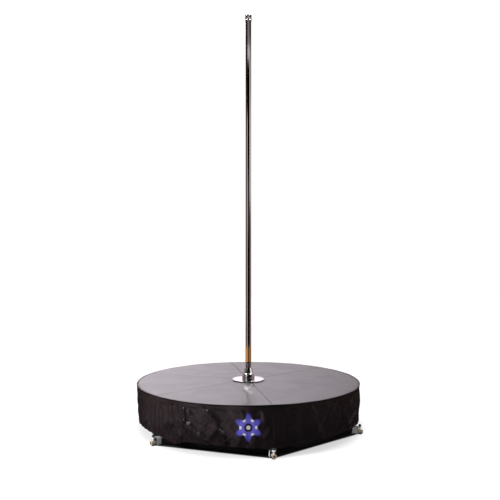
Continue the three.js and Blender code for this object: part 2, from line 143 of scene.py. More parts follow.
# Skirt
SKIRT_TUCK = 0.0035
SKIRT_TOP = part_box("skirt_panel_2")[1][2] - SKIRT_TUCK
SKIRT_CLOTH = 0.0012
SKIRT_OUTER = STAGE_RADIUS + 0.0028
SKIRT_GAP = 0.0003
SKIRT_COLUMNS = 240
SKIRT_ROWS = 72
HEM_INSET = -0.004
HEM_BAND = 0.016
HEM_FOLD = 0.0007
HEM_FOLD_SLOPE = 0.002
TAUT_SHARE = 0.1
HANG_POWER = 1.2
HELD_BAND = 0.027
FREE_BAND = 0.022
# How far the cloth may sink at its top, by slope and down to a depth, before it meets the frame
SINK = 0.0012
SINK_SLOPE = 1.2
SINK_DEPTH = 0.02
# Hem heights over each leg and at the middle of each panel, and sags at a share along with a width
LEG_HEMS = [0.058, 0.076, 0.067, 0.064, 0.07, 0.077]
PANEL_HEMS = [0.075, 0.07, 0.066, 0.069, 0.073, 0.076]
HEM_SAGS = [0, 0, 0, 0, 0, 0.032]
SAG_PLACE_SHARE = -0.6
SAG_WIDTH_SHARE = 0.2
# Waves of the cloth: height (a share for the gathers), length, most lean and first seed
PLEATS = (0.003, 0.095, 0.6, 60)
CREASES = (0.0009, 0.032, 1.2, 80)
PUCKERS = (0.0016, 0.018, 1.5, 70)
GATHERS = (0.45, 0.2, 1.5, 90)
GATHER_BAND = 0.014
RIPPLE_WAVES = 7
SEAM_PULL = 0.003
SEAM_WIDTH = 0.004
FOLD_SEED = 40
FOLD_SLIDE_SHARE = 0.12
FOLD_FALL = 0.015
FOLD_GROWTH_SHARES = (-0.35, 0.25)
FOLD_GAIN = [1.2, 1.2, 1.2, 1.2, 1.1, 2.1]
FOLD_REST = 0.0022
# Folds: shares along and metres down at both ends, widths of the right and left slopes, and height
BROAD_FOLDS = [
    (-0.88, 0.04, -0.9, 0.24, 0.022, 0.04, 0.005),
    (-0.64, 0.045, -0.66, 0.17, 0.02, 0.035, 0.004),
    (-0.45, 0.03, -0.6, 0.17, 0.018, 0.04, 0.005),
    (-0.415, 0.09, -0.43, 0.27, 0.01, 0.035, 0.004),
    (-0.36, 0.03, -0.33, 0.12, 0.009, 0.022, 0.008),
    (-0.33, 0.12, 0.03, 0.255, 0.026, 0.07, 0.009),
    (-0.3, 0.05, -0.16, 0.12, 0.014, 0.03, 0.003),
    (0.0, 0.03, 0.2, 0.135, 0.02, 0.06, 0.007),
    (0.2, 0.135, 0.1, 0.2, 0.016, 0.03, 0.005),
    (0.25, 0.16, 0.3, 0.25, 0.012, 0.028, 0.006),
    (0.55, 0.02, 0.62, 0.2, 0.02, 0.05, 0.004),
    (0.98, 0.14, 0.88, 0.21, 0.01, 0.02, 0.004),
    (0.84, 0.03, 0.92, 0.11, 0.012, 0.02, 0.003),
]
NARROW_FOLDS = [
    (-0.9, 0.03, -0.87, 0.27, 0.02, 0.03, 0.005),
    (-0.76, 0.05, -0.64, 0.06, 0.008, 0.012, 0.002),
    (-0.62, 0.06, -0.6, 0.25, 0.02, 0.05, 0.003),
    (-0.37, 0.02, -0.3, 0.113, 0.012, 0.05, 0.006),
    (-0.3, 0.113, -0.155, 0.24, 0.012, 0.045, 0.006),
    (-0.07, 0.02, -0.01, 0.15, 0.012, 0.035, 0.004),
    (0.2, 0.06, 0.24, 0.26, 0.02, 0.05, 0.003),
    (0.86, 0.17, 0.5, 0.24, 0.012, 0.03, 0.006),
    (0.94, 0.05, 0.9, 0.2, 0.016, 0.03, 0.004),
]
PANEL_FOLDS = [NARROW_FOLDS, BROAD_FOLDS, NARROW_FOLDS, BROAD_FOLDS, NARROW_FOLDS, BROAD_FOLDS]
PIPING_RADIUS = 0.0038
PIPING_DROP = 0.0035
PIPING_RISE = 0.007
PIPING_OUT = 0.0035
PIPING_AROUND = 10
PIPING_STEPS = 720
# Slow waves of the piping: height, waves round the stage and phase
PIPING_WAVES = [(0.0004, 7, 1), (0.0003, 23, 0)]
PIPING_WANDER = (0.0003, 17)
TOP_BAND = 0.02
STITCH = {"Spacing": 0.0062, "Length": 0.0042, "Thread": 0.0008}
STITCH_LIFT = 0.0002
STITCH_TAIL = 0.01
HEM_ROWS = (0.003, -0.002)
ROW_END_SHARE = 0.985
SIDE_ROW_SHARE = 0.989
WEAVE_PITCH = 0.0009
PRINT_HEIGHT = 0.201
PRINT_RADIUS = 0.1
PRINT_PALE = (0.75, 0.74, 0.8)

# Room: radii and heights in metres, turns in degrees from the camera's side
ROOM_RADIUS = 7.0
ROOM_FRONT = 156
ROOM_NEAR = 0.78
ROOM_WOOD = (2.85, 4.2)
ROOM_EDGE = 0.02
ROOM_FLOOR = 0.0015
ROOM_CEILING = 6.5
CEILING_RISE = 1.5
CEILING_FALL = 0.14
CEILING_LIGHT = 4.0
CARD_RADII = (4.0, 4.6)
# Cards on the ceiling, the near floor and the wood: turns from and to, softness and light
CEILING_CARDS = [(-90, -54, 3, 30.0), (50, 80, 3, 22.0)]
NEAR_CARDS = [(-86, -66, 6, 0.6), (-52, -30, 5, 1.5), (-17, -5, 3, 2.1), (30, 58, 8, 0.135)]
WOOD_CARDS = [(-110, -22, 14, 0.75), (25, 110, 10, 0.3)]
# Windows: turns from and to with softness, heights from and to with softness, and light
WINDOWS = [
    ((-34, 44, 6), (5.05, 6.3, 0.12), 0.27),
    ((-34, 44, 6), (5.05, 5.3, 0.1), 0.5),
    ((-36, -4, 4), (1.75, 2.9, 0.3), 0.2),
    ((-48, -36, 2), (-1.0, 4.0, 0.2), 1.3),
    ((58, 82, 3), (2.3, 5.3, 0.3), 1.3),
    ((104, 150, 5), (1.9, 4.3, 0.3), 0.3),
]

# Floor, world and lamps
WORLD_FILL = 0.34
FLOOR_REACH = 15
FLOOR_WHITE = 0.36
# Painted shadow on the floor: glow lowered near the stage and rising to full over the shade radii, and a dark
# colour without glow within the six sides of the frame
FLOOR_SHADOW_GLOW = 0.6
FLOOR_GLOW = 0.86
FLOOR_SHADOW_EDGE = (0.735, 0.755)
FLOOR_PAINTED_SHADOW = 0.04
FLOOR_SHADE = (0.8, 0.92)
# Metres towards the camera, to its right and up, then the size and the power
LAMPS = {
    "key": (2.4, -4.0, 2.4, 1.1, 230),
    "side": (2.6, 3.4, 1.6, 1.8, 22),
    "top": (0, 0, 5.5, 4.0, 90),
}
LAMP_AIM = 0.4

# Camera, from the measured view
CAMERA_TURN = math.radians(10.9)
CAMERA_SIDE = Vector((-math.sin(CAMERA_TURN), -math.cos(CAMERA_TURN), 0))
CAMERA_DISTANCE = 4.859
CAMERA_HEIGHT = 1.298
CAMERA_LENS = 44.84
CAMERA_SHIFT = (0.0033, 0.01456)


class Wire:
    """An output of a node tree. Operators on it add Math nodes."""

    def __init__(self, socket):
        self.socket = socket

    def maths(self, operation, *values):
        return add_node(self.socket.id_data, "ShaderNodeMath", {"operation": operation}, [self, *values])

    def __add__(self, other):
        return self.maths("ADD", other)

    def __mul__(self, other):
        return self.maths("MULTIPLY", other)

    def __sub__(self, other):
        return self.maths("SUBTRACT", other)

    def __truediv__(self, other):
        return self.maths("DIVIDE", other)

    def step(self, low, high):
        """0 below low, 1 above high, smooth between. low may be above high."""
        settings = {"interpolation_type": "SMOOTHSTEP"}
        values = {"Value": self, "From Min": low, "From Max": high, "To Min": 0.0, "To Max": 1.0}
        return add_node(self.socket.id_data, "ShaderNodeMapRange", settings, values)


def add_node(tree, kind, settings=None, values=None, output=0):
    """Adds a node. Settings come first, then a value or a wire for each socket, by name or number."""
    node = tree.nodes.new(kind)
    for key, value in (settings or {}).items():
        setattr(node, key, value)
    items = enumerate(values) if isinstance(values, (list, tuple)) else (values or {}).items()
    for key, value in items:
        if isinstance(value, Wire):
            tree.links.new(value.socket, node.inputs[key])
        elif value is not None:
            node.inputs[key].default_value = value
    return Wire(node.outputs[output]) if node.outputs else None


class Finish:
    """A Principled material with helpers for patterns on object coordinates."""

    def __init__(self, name, color, roughness, metallic=0.0, **fixed):
        self.material = bpy.data.materials.new(name)
        self.material.use_nodes = True
        self.tree = self.material.node_tree
        self.shader = self.tree.nodes["Principled BSDF"]
        fixed = {"Base_Color": (*color, 1.0), "Roughness": roughness, "Metallic": metallic, **fixed}
        for key, value in fixed.items():
            self.shader.inputs[key.replace("_", " ")].default_value = value
        self.material.diffuse_color = (*color, 1.0)
        self.place = self.add("ShaderNodeTexCoord", output="Object")

    def add(self, kind, settings=None, values=None, output=0):
        return add_node(self.tree, kind, settings, values, output)

    def feed(self, socket, wire):
        self.tree.links.new(wire.socket, self.shader.inputs[socket])

    def axes(self, place=None):
        spot = self.add("ShaderNodeSeparateXYZ", values=[place or self.place]).socket.node
        return [Wire(output) for output in spot.outputs]

    def stretched(self, scale, place=None):
        return self.add("ShaderNodeMapping", values={"Vector": place or self.place, "Scale": scale})

    def noise(self, scale, detail, rough, place=None):
        values = {"Vector": place or self.place, "Scale": scale, "Detail": detail, "Roughness": rough}
        return self.add("ShaderNodeTexNoise", values=values)

    def cells(self, scale, feature="F1"):
        values = {"Vector": self.place, "Scale": scale}
        return self.add("ShaderNodeTexVoronoi", {"feature": feature}, values, "Distance")

    def mixed(self, factor, first, second):
        """A colour between two, each a colour or a wire."""
        pair = [c if isinstance(c, Wire) else (*c, 1.0)[:4] for c in (first, second)]
        return self.add("ShaderNodeMix", {"data_type": "RGBA"}, {0: factor, 6: pair[0], 7: pair[1]}, 2)

    def between(self, factor, low, high):
        return factor * (high - low) + low

    def bump(self, height, distance, strength, under=None):
        values = {"Height": height, "Distance": distance, "Strength": strength, "Normal": under}
        return self.add("ShaderNodeBump", values=values)


def chrome_finish():
    made = Finish("mirror_chrome", (0.58, 0.565, 0.56), 0.05, 1.0)
    haze = made.noise(9.0, 4.0, 0.6, made.stretched((1.0, 1.0, 0.35)))
    made.feed("Roughness", made.between(haze.step(0.35, 0.75), 0.035, 0.085))
    made.feed("Base Color", made.mixed(haze.step(0.4, 0.8), (0.6, 0.585, 0.58), (0.54, 0.525, 0.52)))
    return made.material


def polished_finish():
    made = Finish("polished_steel", (0.76, 0.76, 0.77), 0.07, 1.0)
    smear = made.noise(30.0, 3.0, 0.6)
    made.feed("Roughness", made.between(smear.step(0.3, 0.8), 0.05, 0.12))
    grain = made.noise(900.0, 1.0, 0.5, made.stretched((1.0, 1.0, 0.1)))
    made.feed("Normal", made.bump(grain, 0.00002, 0.3))
    return made.material


def zinc_finish(name, color, dark):
    made = Finish(name, color, 0.3, 0.1)
    spangle = made.cells(160.0)
    clouds = made.noise(60.0, 4.0, 0.65)
    made.feed("Base Color", made.mixed(clouds.step(0.35, 0.7), color, dark))
    made.feed("Roughness", made.between(spangle, 0.22, 0.42))
    made.feed("Normal", made.bump(clouds, 0.0004, 0.25))
    return made.material


def powder_finish():
    made = Finish("black_powder_coat", (0.006, 0.0055, 0.006), 0.42, Specular_IOR_Level=0.1)
    peel = made.noise(700.0, 2.0, 0.5)
    scuffs = made.noise(40.0, 5.0, 0.7)
    made.feed("Roughness", made.between(scuffs.step(0.4, 0.75), 0.38, 0.55))
    made.feed("Normal", made.bump(peel, 0.0002, 0.4))
    return made.material


def rubber_finish(name, color, dusty, shine):
    made = Finish(name, color, 0.8, Specular_IOR_Level=shine)
    dust = made.noise(300.0, 4.0, 0.6)
    made.feed("Base Color", made.mixed(dust.step(0.5, 0.8), color, dusty))
    made.feed("Normal", made.bump(dust, 0.0002, 0.5))
    return made.material


def grained_finish(name, color, shine, grain, depth, stretch=(1.0, 1.0, 1.0), **fixed):
    """A finish whose roughness, between two values, and relief follow one grain"""
    made = Finish(name, color, shine[0], **fixed)
    lines = made.noise(*grain, made.stretched(stretch))
    made.feed("Roughness", made.between(lines, *shine))
    made.feed("Normal", made.bump(lines, depth, 0.4))
    return made.material


def ground_finish(name, color):
    shine, grain = (0.18, 0.38), (500.0, 2.0, 0.6)
    return grained_finish(name, color, shine, grain, 0.00005, (1.0, 1.0, 6.0), Metallic=1.0)


def vinyl_finish():
    """Dark satin vinyl with a fine leather grain and faint shoe haze"""
    made = Finish("deck_vinyl", (0.05, 0.036, 0.048), 0.2)
    grain = made.cells(420.0, "DISTANCE_TO_EDGE").step(0.0, 0.25)
    haze = made.noise(5.0, 5.0, 0.6)
    mottle = made.noise(38.0, 5.0, 0.65)
    color = made.mixed(mottle.step(0.35, 0.7), (0.031, 0.0215, 0.0295), (0.0275, 0.0193, 0.0265))
    made.feed("Base Color", color)
    made.feed("Roughness", made.between(haze.step(0.3, 0.75), 0.28, 0.34) + mottle * 0.03)
    soft = made.bump(mottle, 0.0006, 0.25)
    made.feed("Normal", made.bump(grain, 0.00012, 0.22, soft))
    return made.material


def weave_bump(made, along, down, under):
    turns = 2 * math.pi / WEAVE_PITCH
    weave = (along * turns).maths("SINE") * (down * turns).maths("SINE")
    return made.bump(weave, 0.0001, 0.35, under)


def nylon_finish():
    """Black coated nylon: fine weave, brown-violet cast, and rubbed folds"""
    made = Finish("skirt_nylon", (0.015, 0.0105, 0.0125), 0.32, Specular_IOR_Level=0.4)
    cloth = made.add("ShaderNodeUVMap", {"uv_map": "cloth"})
    along, down, _ = made.axes(cloth)
    cast = made.noise(7.0, 4.0, 0.6)
    rub = made.noise(60.0, 4.0, 0.7, made.stretched((1.0, 2.0, 1.0), cloth))
    base = made.mixed(cast.step(0.3, 0.7), (0.011, 0.0068, 0.0085), (0.008, 0.0055, 0.0068))
    made.feed("Roughness", made.between(rub.step(0.3, 0.7), 0.31, 0.41))
    soft = made.bump(made.noise(40.0, 4.0, 0.55, cloth), 0.0035, 0.22)
    made.feed("Normal", weave_bump(made, along, down, soft))
    made.feed("Base Color", printed(made, base))
    return made.material


def printed(made, base):
    """A soft violet-blue rosette of six petals with a ring of pale dots, towards the front"""
    turned = made.add("ShaderNodeMapping", values={"Vector": made.place, "Rotation": (0, 0, CAMERA_TURN)})
    x, y, z = made.axes(turned)
    across = x.maths("ARCTAN2", y * -1.0) * STAGE_RADIUS
    up = z - PRINT_HEIGHT
    reach = (across * across + up * up).maths("SQRT") / PRINT_RADIUS
    bearing = across.maths("ARCTAN2", up)
    wave = (bearing * LEGS).maths("COSINE")
    petal = wave * 0.19 + 0.76
    spray = made.noise(150.0, 4.0, 0.8) * 0.34 + made.noise(420.0, 2.0, 0.6) * 0.2 - 0.27
    edge = reach / petal + spray
    body = edge.step(1.08, 0.78)
    heart = reach.step(0.2, 0.36)
    facing = y.step(0.0, -0.1)
    violet = made.mixed((reach + spray).step(0.2, 0.9), (0.16, 0.14, 0.66), (0.075, 0.07, 0.46))
    inked = made.mixed(body * heart * facing * 0.94, base, violet)
    lobe = (wave * -1.0).step(0.2, 0.6)
    dots = lobe * reach.step(0.42, 0.46) * reach.step(0.6, 0.56) * facing
    pale = made.mixed(dots, inked, PRINT_PALE)
    centre = reach.step(0.15, 0.12) * facing
    return made.mixed(centre, pale, PRINT_PALE)


def thread_finish():
    made = Finish("black_thread", (0.014, 0.01, 0.012), 0.6, Specular_IOR_Level=0.2)
    twist = made.noise(2500.0, 1.0, 0.5)
    made.feed("Normal", made.bump(twist, 0.0001, 0.5))
    return made.material


def plastic_finish():
    return grained_finish("black_plastic", (0.012, 0.012, 0.013), (0.26, 0.4), (1500.0, 1.0, 0.5), 0.00005)


def piping_finish():
    color, grain = (0.001, 0.0009, 0.0009), (160.0, 3.0, 0.6)
    return grained_finish("piping_nylon", color, (0.28, 0.42), grain, 0.0006, Specular_IOR_Level=0.12)


CHROME = chrome_finish()
POLISHED = polished_finish()
ZINC = zinc_finish("bright_zinc", (0.9, 0.91, 0.93), (0.74, 0.76, 0.78))
WARM_ZINC = zinc_finish("yellow_zinc", (0.66, 0.55, 0.42), (0.5, 0.4, 0.3))
POWDER = powder_finish()
RUBBER = rubber_finish("pad_rubber", (0.012, 0.012, 0.013), (0.035, 0.034, 0.033), 0.5)
# Black rubber of the band under the flange, which is painted shade
SHADE_BAND_RUBBER = rubber_finish("shade_band_rubber", (0.003, 0.003, 0.003), (0.006, 0.0055, 0.0055), 0.1)
PLASTIC = plastic_finish()
GROUND = ground_finish("ground_steel", (0.55, 0.56, 0.58))
BRONZE = ground_finish("plain_bronze", (0.55, 0.38, 0.18))
VINYL = vinyl_finish()
NYLON = nylon_finish()
THREAD = thread_finish()
PIPING = piping_finish()


def added(name, data):
    made = bpy.data.objects.new(name, data)
    bpy.context.scene.collection.objects.link(made)
    return made


def piece(name, mesh, finishes, body, stands_for=()):
    """Puts a mesh in the scene as a finished piece that rides on a body"""
    made = added(name, mesh)
    for material in finishes:
        mesh.materials.append(material)
    if stands_for:
        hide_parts(*stands_for)
    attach(made, body)
    return made


def smooth(mesh, angle=35):
    mesh.polygons.foreach_set("use_smooth", [True] * len(mesh.polygons))
    mesh.set_sharp_from_angle(angle=math.radians(angle))
    return mesh


def to_mesh(name, points, faces):
    mesh = bpy.data.meshes.new(name)
    mesh.from_pydata(points, [], faces)
    mesh.update()
    return mesh


def polar(radius, angle, height, centre=(0, 0)):
    return (centre[0] + radius * math.cos(angle), centre[1] + radius * math.sin(angle), height)


def ring_faces(rings, around, closed=False):
    """Faces between rings of points, and from the last ring to the first where closed"""
    faces = []
    for ring in range(rings if closed else rings - 1):
        following = (ring + 1) % rings * around
        for k in range(around):
            a, b = ring * around + k, ring * around + (k + 1) % around
            faces.append((a, b, following + (k + 1) % around, following + k))
    return faces


def turned(name, outline, steps=TURN_STEPS, centre=(0, 0)):
    """A shape turned about Z from (radius, height) points. Off the axis, an outline closes on itself."""
    closed = outline[0][0] > 0
    points, rings = [], []
    for radius, height in outline:
        first = len(points)
        count = steps if radius > 0 else 1
        points.extend(polar(radius, 2 * math.pi * k / steps, height, centre) for k in range(count))
        rings.append((first, count))
    following = rings[1:] + rings[:1] if closed else rings[1:]
    faces = []
    for (a, many_a), (b, many_b) in zip(rings, following):
        for i in range(steps):
            j = (i + 1) % steps
            if many_a == 1:
                faces.append((a, b + j, b + i))
            elif many_b == 1:
                faces.append((a + i, a + j, b))
            else:
                faces.append((a + i, a + j, b + j, b + i))
    return smooth(outward(to_mesh(name, points, faces)))


def outward(mesh):
    edit = bmesh.new()
    edit.from_mesh(mesh)
    bmesh.ops.recalc_face_normals(edit, faces=edit.faces)
    edit.to_mesh(mesh)
    edit.free()
    return mesh


def rounded(outline, radius, steps=4):
    """The outline with each corner off the axis rounded by up to a radius"""
    result = []
    count = len(outline)
    for i, here in enumerate(outline):
        corner = Vector(here)
        back, onward = Vector(outline[i - 1]) - corner, Vector(outline[(i + 1) % count]) - corner
        turn = back.angle(onward, math.pi)
        if here[0] == 0 or turn > math.radians(172):
            result.append(here)
            continue
        cut = min(radius / math.tan(turn / 2), back.length * 0.45, onward.length * 0.45)
        start, end = corner + back.normalized() * cut, corner + onward.normalized() * cut
        for k in range(steps + 1):
            t = k / steps
            spot = start * (1 - t) ** 2 + corner * 2 * t * (1 - t) + end * t ** 2
            result.append((spot.x, spot.y))
    return result


def flowing(outline, steps):
    """A smooth curve through outline points"""
    points = [Vector(p) for p in outline]
    result = []
    for i in range(len(points) - 1):
        before = points[max(i - 1, 0)]
        after = points[min(i + 2, len(points) - 1)]
        here, there = points[i], points[i + 1]
        for k in range(steps):
            t = k / steps
            bend = (2 * before - 5 * here + 4 * there - after) * t * t
            twist = (3 * here - before - 3 * there + after) * t ** 3
            spot = 0.5 * (2 * here + (there - before) * t + bend + twist)
            result.append((spot.x, spot.y))
    result.append(tuple(points[-1]))
    return result


def leg_angle(i):
    return FIRST_LEG + i * STEP


def panel_angle(i):
    return leg_angle(i) + HALF_STEP


def ease_edges(made, width, steps, angle):
    easing = made.modifiers.new("eased_edges", "BEVEL")
    easing.width = width
    easing.segments = steps
    easing.limit_method = "ANGLE"
    easing.angle_limit = math.radians(angle)


def eased_copy(name, node, finishes, width, steps=2):
    """A CAD node's shape with its sharp edges rounded"""
    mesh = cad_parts[node].data.copy()
    mesh.name = name
    mesh.materials.clear()
    edit = bmesh.new()
    edit.from_mesh(mesh)
    bmesh.ops.remove_doubles(edit, verts=edit.verts, dist=MERGE)
    flat = math.radians(0.5)
    bmesh.ops.dissolve_limit(edit, angle_limit=flat, verts=edit.verts, edges=edit.edges)
    edit.to_mesh(mesh)
    edit.free()
    made = piece(name, mesh, finishes, "root", [node])
    ease_edges(made, width, steps, 30)
    smooth(mesh, 40)
    return made


def pole():
    """Chromed tubes with eased ends"""
    for part in ("base", "middle", "extension", "top"):
        node = f"pole_{part}_tube"
        low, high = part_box(node)
        inner, eased_radius = POLE_RADIUS - TUBE_WALL, POLE_RADIUS - TUBE_CHAMFER
        outline = [
            (inner, low[2]), (eased_radius, low[2]), (POLE_RADIUS, low[2] + TUBE_CHAMFER),
            (POLE_RADIUS, high[2] - TUBE_CHAMFER), (eased_radius, high[2]), (inner, high[2]),
        ]
        piece(f"{part}_tube", turned(node, outline), [CHROME], "pole", [node])


def pole_cap():
    """Polished cap with a lip and a groove, and a plug in the top tube"""
    bottom, top = CAP_LOW[2], CAP_HIGH[2]
    base = top - CAP_HEAD
    groove_low = base + CAP_LIP + CAP_STEP
    groove_high = groove_low + CAP_GROOVE
    plug = POLE_RADIUS - TUBE_WALL - CAP_PLUG_CLEARANCE
    lip, groove, band = CAP_HIGH[0], CAP_GROOVE_RADIUS, CAP_BAND_RADIUS
    outline = [
        (0, bottom), (plug, bottom), (plug, base), (lip, base), (lip, base + CAP_LIP),
        (groove, groove_low), (groove, groove_high), (band, groove_high + CAP_STEP),
        (band, top - CAP_CHAMFER), (band - CAP_CHAMFER, top), (0, top),
    ]
    mesh = turned("cap", rounded(outline, EDGE_ROUND))
    piece("cap", mesh, [POLISHED], "pole", ["pole_cap"])


def flange():
    """Polished disc on a black band, which is painted shade for the dark line under the disc"""
    # The lower part of the flange is black rubber: painted shade for the dark line under the disc
    part_line = FLANGE_LOW[2] + FLANGE_SHADE_BAND
    for name, low, high, finish in (
        ("flange_shade_band", FLANGE_LOW[2], part_line, SHADE_BAND_RUBBER),
        ("flange", part_line, FLANGE_HIGH[2], POLISHED),
    ):
        outline = [(FLANGE_BORE, low), (FLANGE_RADIUS, low), (FLANGE_RADIUS, high), (FLANGE_BORE, high)]
        mesh = turned(name, rounded(outline, FLANGE_ROUND), FLANGE_STEPS)
        piece(name, mesh, [finish], "root", ["flange_ring"])


def bell():
    """Polished bell with a soft shoulder and a rolled foot"""
    lip = POLE_RADIUS + BELL_LIP
    flare = BELL_RADIUS - lip
    height = BELL_HIGH[2] - BELL_LOW[2]
    curve = [(lip + out * flare, BELL_LOW[2] + up * height) for out, up in BELL_CURVE]
    outer = flowing(curve, BELL_STEPS)
    inner = [(radius - BELL_WALL, z) for radius, z in reversed(outer)]
    mesh = turned("bell", outer + inner)
    piece("bell", mesh, [POLISHED], "collar", ["bell_collar"])


def deck():
    """Sector boards with a rounded outer edge and vinyl turned over every edge"""
    flat_radius, side_top = STAGE_RADIUS - DECK_ROLL, DECK_TOP - DECK_EDGE
    section = [(DECK_BORE, DECK_BOTTOM), (STAGE_RADIUS, DECK_BOTTOM)]
    for k in range(DECK_ROLL_STEPS + 1):
        turn = math.pi / 2 * k / DECK_ROLL_STEPS
        section.append((flat_radius + DECK_ROLL * math.cos(turn), side_top + DECK_EDGE * math.sin(turn)))
    section.append((DECK_BORE, DECK_TOP))
    rows = len(section)
    for i in range(LEGS):
        points = []
        for column in range(DECK_COLUMNS + 1):
            share = 2 * column / DECK_COLUMNS - 1
            for radius, z in section:
                angle = panel_angle(i) + share * (HALF_STEP - math.asin(DECK_SEAM / radius))
                points.append(polar(radius, angle, z))
        faces = ring_faces(DECK_COLUMNS + 1, rows)
        faces.append(tuple(range(rows)))
        faces.append(tuple(DECK_COLUMNS * rows + row for row in reversed(range(rows))))
        mesh = smooth(outward(to_mesh(f"deck_{i + 1}", points, faces)), 30)
        made = piece(f"deck_board_{i + 1}", mesh, [VINYL], "root", [f"deck_panel_{i + 1}"])
        ease_edges(made, SEAM_ROUND, 3, 50)


def panel_folds(i):
    """The folds of one panel. Only the two front panels keep them where they are listed."""
    chance = random.Random(FOLD_SEED + i)
    spread = 0 if i in (0, LEGS - 1) else 1
    made = []
    for start, top, end, bottom, right, left, height in PANEL_FOLDS[i]:
        slide = spread * chance.uniform(-FOLD_SLIDE_SHARE, FOLD_SLIDE_SHARE)
        fall = spread * chance.uniform(-FOLD_FALL, FOLD_FALL)
        grown_by = 1 + spread * chance.uniform(*FOLD_GROWTH_SHARES)
        made.append((start + slide, top + fall, end + slide, bottom + fall, right, left, height * grown_by))
    return made


def fold_height(spot, down, fold):
    """Height of one fold at arrays of places along and down, in metres"""
    start, top, end, bottom, right, left, height = fold
    across, fall = (end - start) * PANEL_ARC, bottom - top
    length = math.hypot(across, fall)
    away, under = spot - start * PANEL_ARC, down - top
    run = (away * across + under * fall) / length ** 2
    off = (away * fall - under * across) / length
    width = np.where(off > 0, right, left) * (0.75 + 0.5 * np.clip(run, 0, 1))
    overrun = np.maximum(np.abs(run - 0.5) - 0.3, 0) * length / (1.25 * width)
    return height * np.exp(-(off / width) ** 2 - overrun ** 2)


def ripples(i, spot, down, wave):
    """Irregular waves of a panel's cloth. Their crests lean by up to an angle from upright."""
    height, length, lean, seed = wave
    chance = random.Random(seed + i)
    total = 0
    for _ in range(RIPPLE_WAVES):
        turn = chance.uniform(-lean, lean)
        pitch = 2 * math.pi / (length * chance.uniform(0.7, 1.5))
        phase = chance.uniform(0, 2 * math.pi)
        bend = 0.8 * np.sin(down * pitch * 0.6 + spot * pitch * 0.35 + phase)
        total = total + np.sin((spot * math.cos(turn) + down * math.sin(turn)) * pitch + phase + bend)
    return height * total / RIPPLE_WAVES * 1.8


def hem_height(i, along):
    left, middle, right = LEG_HEMS[i], PANEL_HEMS[i], LEG_HEMS[(i + 1) % LEGS]
    sag = HEM_SAGS[i] * np.exp(-((along - SAG_PLACE_SHARE) / SAG_WIDTH_SHARE) ** 2)
    return middle + (right - left) / 2 * along + ((left + right) / 2 - middle) * along ** 2 - sag


def skirt_face(i, along, down):
    """Outer radius of a skirt panel at arrays of shares along (-1 to 1) and depths down in metres"""
    full = SKIRT_TOP - hem_height(i, along)
    drop = np.clip((down - HELD_BAND) / (full - HELD_BAND), 0, 1)
    hem_leg = STAGE_RADIUS - HEM_INSET
    chord = hem_leg * math.cos(HALF_STEP) / np.cos(along * HALF_STEP)
    hem = hem_leg + (chord - hem_leg) * TAUT_SHARE
    spot = along * PANEL_ARC
    folds = sum(fold_height(spot, down, fold) for fold in panel_folds(i))
    held = 1 - np.abs(along) ** 12
    free = np.clip(down / FREE_BAND, 0, 1) * held
    crumple = ripples(i, spot, down, PLEATS) + ripples(i, spot, down, CREASES)
    above_hem = full - HEM_BAND - down
    gathered = np.exp(-(above_hem / GATHER_BAND) ** 2) * (0.55 + ripples(i, spot, down * 0, GATHERS))
    pucker = gathered * ripples(i, spot, down * 0.3, PUCKERS)
    doubled = HEM_FOLD * np.clip(-above_hem / HEM_FOLD_SLOPE, 0, 1)
    seam = SEAM_PULL * np.exp(-((1 - np.abs(along)) * PANEL_ARC / SEAM_WIDTH) ** 2)
    relief = (FOLD_GAIN[i] * (folds - FOLD_REST) + crumple) * free + pucker * held + doubled
    relief = relief - seam * np.clip(drop * 8, 0, 1)
    deepest = -SINK - SINK_SLOPE * np.clip(down - HELD_BAND, 0, SINK_DEPTH)
    return SKIRT_OUTER + (hem - SKIRT_OUTER) * drop ** HANG_POWER + np.maximum(relief, deepest)


def skirt_panel(i):
    """One nylon panel: a fine grid of outer and inner points, closed round its edges"""
    along = np.linspace(-1, 1, SKIRT_COLUMNS + 1)
    grid_along, grid_down = np.meshgrid(along, np.linspace(0, 1, SKIRT_ROWS + 1))
    grid_down = grid_down * (SKIRT_TOP - hem_height(i, grid_along))
    radius = skirt_face(i, grid_along, grid_down)
    angle = panel_angle(i) + grid_along * (HALF_STEP - SKIRT_GAP / STAGE_RADIUS)
    points = []
    for inset in (0, SKIRT_CLOTH):
        x, y = (radius - inset) * np.cos(angle), (radius - inset) * np.sin(angle)
        points.extend(np.stack([x, y, SKIRT_TOP - grid_down], -1).reshape(-1, 3).tolist())
    outer, inner = np.arange(len(points)).reshape(2, *grid_down.shape)
    sides = [
        (outer[:-1, :-1], outer[1:, :-1], outer[1:, 1:], outer[:-1, 1:]),
        (inner[:-1, :-1], inner[:-1, 1:], inner[1:, 1:], inner[1:, :-1]),
        (outer[:-1, 0], inner[:-1, 0], inner[1:, 0], outer[1:, 0]),
        (outer[:-1, -1], outer[1:, -1], inner[1:, -1], inner[:-1, -1]),
        (outer[0, :-1], outer[0, 1:], inner[0, 1:], inner[0, :-1]),
        (outer[-1, :-1], inner[-1, :-1], inner[-1, 1:], outer[-1, 1:]),
    ]
    faces = np.concatenate([np.stack(side, -1).reshape(-1, 4) for side in sides]).tolist()
    mesh = smooth(to_mesh(f"skirt_{i + 1}", points, faces), 60)
    cloth = mesh.uv_layers.new(name="cloth")
    flat = np.stack([grid_along * PANEL_ARC, grid_down], -1).reshape(-1, 2)
    flat = np.concatenate([flat, flat])
    corners = np.zeros(len(mesh.loops), dtype=np.int32)
    mesh.loops.foreach_get("vertex_index", corners)
    cloth.data.foreach_set("uv", flat[corners].ravel())
    made = piece(f"skirt_{i + 1}", mesh, [NYLON], "root", [f"skirt_panel_{i + 1}"])
    drops = SKIRT_TOP - hem_height(i, along)


